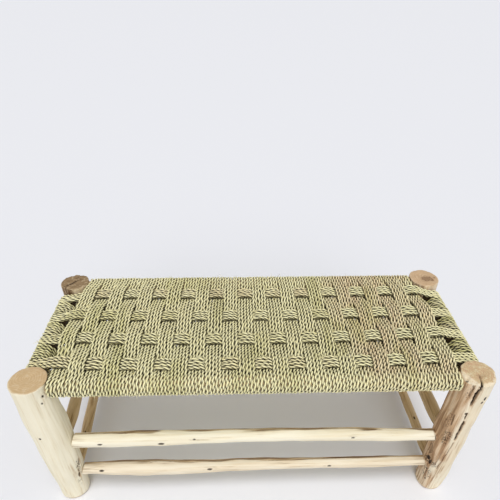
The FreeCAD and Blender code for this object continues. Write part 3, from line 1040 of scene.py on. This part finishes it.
dress_leg(
    "front_left", 101, leg_left,
    knots=((-38, 0.385, 0.0028, 0.0012), (-48, 0.368, 0.0022, 0.0010), (-98, 0.265, 0.0026, 0.0012),
           (60, 0.30, 0.0028, 0.0012), (150, 0.18, 0.0030, 0.0014)),
    cracks=((((-17, 0.142), (-22, 0.118)), 0.0026, 0.0024, 0.65),
            (((-30, 0.097), (-34, 0.084)), 0.0026, 0.0024, 0.9),
            (((-20, 0.128), (-30, 0.100)), 0.0012, 0.0018, 0.6)),
    rough=((-24, 0.118, 0.007, 0.026, 0.8), (-38, 0.068, 0.006, 0.018, 0.4)),
    facets=((-70, 34, 0.0012), (20, 40, 0.0016), (140, 45, 0.0015)),
    worn=((-25, 16, 0.5, 0.075, 0.15),), bark=0.9, pith=(-0.006, 0.004))
dress_leg(
    "front_right", 211, leg_right,
    knots=((-56, 0.361, 0.0044, 0.0018), (-63, 0.350, 0.0032, 0.0012), (-151, 0.075, 0.0030, 0.0014),
           (-139, 0.039, 0.0028, 0.0012), (-163, 0.116, 0.0065, 0.0018), (-150, 0.107, 0.0050, 0.0016),
           (-128, 0.055, 0.0014, 0.0008), (-108, 0.318, 0.0024, 0.0014)),
    cracks=((((-98, 0.417), (-100, 0.385), (-104, 0.345)), 0.0036, 0.0075, 1.0),
            (((-104, 0.322), (-102, 0.300)), 0.0014, 0.0026, 0.85),
            (((-102, 0.292), (-100, 0.262), (-103, 0.226)), 0.0024, 0.0036, 0.95),
            (((-101, 0.215), (-107, 0.16), (-112, 0.10)), 0.0012, 0.0016, 0.6),
            (((-124, 0.407), (-122, 0.388), (-125, 0.368)), 0.0022, 0.0026, 0.55),
            (((-139, 0.302), (-135, 0.270)), 0.0018, 0.0018, 0.6),
            (((-121, 0.175), (-128, 0.120)), 0.0014, 0.0014, 0.5)),
    rough=((-131, 0.226, 0.010, 0.026, 0.85), (-152, 0.112, 0.022, 0.013, 1.0),
           (-172, 0.150, 0.012, 0.018, 0.9), (-148, 0.062, 0.018, 0.022, 0.6),
           (-127, 0.378, 0.006, 0.018, 0.5), (-150, 0.280, 0.008, 0.030, 0.45)),
    facets=((-165, 34, 0.0030), (-80, 44, 0.0026), (10, 40, 0.0022), (95, 40, 0.0020)),
    worn=((-180, 74, 0.95, 0.13, 0.6), (-184, 64, 0.85, -0.1, 0.17), (-150, 26, 0.95, 0.085, 0.14),
          (-120, 14, 0.4, 0.03, 0.6), (-95, 26, 0.35, -0.1, 0.12)),
    top_cuts=((-150, 0.52, 0.55), (-78, 0.66, 0.75), (-30, 0.70, 0.45)), bevel=0.85,
    hearts=((0.004, -0.010, 0.006, 0.5),),
    splits=((((-0.0060, -0.046), (-0.0045, -0.036), (-0.0015, -0.027)), 0.0028, 0.0050, 1.0),
            (((-0.038, -0.012), (-0.026, -0.018)), 0.0016, 0.0030, 0.8)),
    bark=0.3, pith=(0.007, 0.004))
dress_leg(
    "back_left", 307, leg_back,
    knots=((-120, 0.33, 0.0026, 0.0012), (30, 0.22, 0.0030, 0.0014)),
    cracks=((((80, 0.413), (84, 0.36), (81, 0.31)), 0.0016, 0.0030, 0.8),),
    facets=((-110, 40, 0.0016), (0, 40, 0.0014), (120, 40, 0.0018)),
    worn=((-140, 70, 0.75, -0.1, 0.6), (40, 40, 0.5, 0.1, 0.35)), top_cuts=((100, 0.45, 0.18),),
    splits=((((-0.026, -0.026), (-0.006, -0.008), (0.012, 0.012)), 0.0024, 0.0040, 0.95),
            (((-0.014, -0.020), (-0.016, -0.032), (-0.008, -0.038)), 0.0018, 0.0030, 0.8)),
    bark=0.2, pith=(0.004, -0.006))
dress_leg(
    "back_right", 409, leg_pink,
    knots=((-100, 0.30, 0.0026, 0.0012), (120, 0.15, 0.0028, 0.0014)),
    facets=((-60, 40, 0.0014), (70, 40, 0.0016), (180, 40, 0.0014)),
    worn=((-150, 40, 0.5, -0.1, 0.6),), hearts=((0.007, -0.005, 0.012, 1.0),),
    bark=0.7, pith=(0.007, -0.005))

dress_pole(
    "front_stretcher_upper", X, 503, stretcher_look, weathered=0.85,
    knots=((-0.355, 169, 0.0026), (-0.215, 176, 0.0032), (-0.139, 146, 0.0016), (0.228, 158, 0.0019)))
dress_pole(
    "front_stretcher_lower", X, 521, lower_look, weathered=1.0,
    knots=((-0.375, 149, 0.0028), (-0.110, 154, 0.0028), (0.187, 159, 0.0022)))
dress_pole(
    "back_stretcher_upper", X, 541, stretcher_look, weathered=0.6,
    knots=((0.12, 20, 0.0026), (-0.22, -20, 0.0024)))
dress_pole(
    "back_stretcher_lower", X, 557, lower_look, weathered=0.6,
    knots=((0.25, 0, 0.0024), (-0.05, 15, 0.0026)))
dress_pole("left_rung_upper", Y, 571, rung_look, worn=0.2, knots=((0.03, 60, 0.0026),))
dress_pole("left_rung_lower", Y, 587, rung_look, worn=0.2, knots=((-0.05, 80, 0.0024),))
dress_pole("right_rung_upper", Y, 599, rung_look, worn=0.22, knots=((0.05, 110, 0.0026),))
dress_pole("right_rung_lower", Y, 613, rung_look, worn=0.22, knots=((-0.02, 100, 0.0024),))

for side, rail_look in (
        ("front", rail_x_look), ("back", rail_x_look), ("left", rail_y_dark_shade_look), ("right", rail_y_dark_shade_look)):
    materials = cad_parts["seat_rail_" + side].data.materials
    materials.clear()
    materials.append(rail_look)

# Lay the rope

rope_look = rope_material()
weft_half = WEFT_TURNS * WEFT_OPEN * weft_pitch / 2
warp_half = WARP_TURNS * warp_pitch / 2
for band in range(WARP_BANDS):
    places = [crossing(band, row)[1] for row in range(WEFT_ROWS)]
    tuck = tucked(places[1 - band % 2::2], places[band % 2::2], Y, weft_half)
    lay_rope(
        "warp_band_%02d" % (band + 1), warp_turns(band), (1, 0, 0), WARP_SEEDS[band], browner, greener, tuck)
for row in range(WEFT_ROWS):
    places = [band_x[band] * crossing(band, row)[0] for band in range(WARP_BANDS)]
    tuck = tucked(places[row % 2::2], places[1 - row % 2::2], X, warp_half)
    lay_rope(
        "weft_band_%d" % (row + 1), weft_turns(row), (0, 1, 0), WEFT_SEEDS[row],
        weft_tint(ROW_BROWN[row]), weft_tint(ROW_GREEN[row], RIGHT_GREEN), tuck,
        older=ROW_AGE[row], groove_shade_scale=CROSS_GROOVE_SHADE, stout=WEFT_STOUT)
for side, sign in (("left", -1), ("right", 1)):
    for gap in range(WEFT_ROWS - 1):
        node = "%s_rail_wrap_%d" % (side, gap + 1)
        lay_rope(
            node, wrap_turns(sign, node), (0, 1, 0), WRAP_SEEDS[gap] + sign, browner,
            side_green(WRAP_GREEN[side]), older=WRAP_AGE[side], groove_shade_scale=WRAP_GROOVE_SHADE[side], fuller=0.0)


# Floor, light and camera

def lay_floor():
    mesh = bpy.data.meshes.new("floor")
    mesh.from_pydata(FLOOR_CORNERS, [], [(0, 1, 2, 3)])
    mesh.materials.append(Shader("floor_pale").finish(FLOOR_COLOUR, roughness=0.9, specular=0.1))
    return placed("floor", mesh)


def light_studio():
    """White all round: at full strength to the camera, and softer as light on the bench."""
    scene.world = bpy.data.worlds.new("studio")
    scene.world.use_nodes = True
    tree = scene.world.node_tree
    background = tree.nodes["Background"]
    background.inputs["Color"].default_value = (1.0, 1.0, 1.0, 1.0)
    seen = tree.nodes.new("ShaderNodeLightPath").outputs["Is Camera Ray"]
    level = tree.nodes.new("ShaderNodeMapRange")
    level.inputs["To Min"].default_value = FILL_LEVEL
    level.inputs["To Max"].default_value = 1.0
    tree.links.new(seen, level.inputs["Value"])
    tree.links.new(level.outputs["Result"], background.inputs["Strength"])


def soft_lamp(name, energy, spread, heading):
    lamp = bpy.data.lights.new(name, "SUN")
    lamp.energy = energy
    lamp.angle = radians(spread)
    placed(name, lamp).rotation_euler = Vector(heading).to_track_quat("-Z", "Y").to_euler()


def photo_camera():
    pitch, yaw, roll = map(radians, CAMERA_TURN)
    ahead = Vector((sin(yaw) * cos(pitch), cos(yaw) * cos(pitch), -sin(pitch)))
    right = Vector((cos(yaw), -sin(yaw), 0))
    down = ahead.cross(right)
    across = right * cos(roll) + down * sin(roll)
    below = down * cos(roll) - right * sin(roll)
    lens = bpy.data.cameras.new("photo_camera")
    lens.sensor_width = SENSOR_WIDTH
    lens.lens = FOCAL_PIXELS / IMAGE_SIZE * SENSOR_WIDTH
    lens.shift_y = (CENTRE_ROW - IMAGE_SIZE / 2) / IMAGE_SIZE
    camera = placed("photo_camera", lens)
    turned = Matrix((across, -below, -ahead)).transposed().to_4x4()
    camera.matrix_world = Matrix.Translation(CAMERA_PLACE + middle) @ turned
    return camera


floor = lay_floor()
light_studio()
for lamp_name, lamp_sizes in LAMPS.items():
    soft_lamp(lamp_name, *lamp_sizes)
scene.camera = photo_camera()
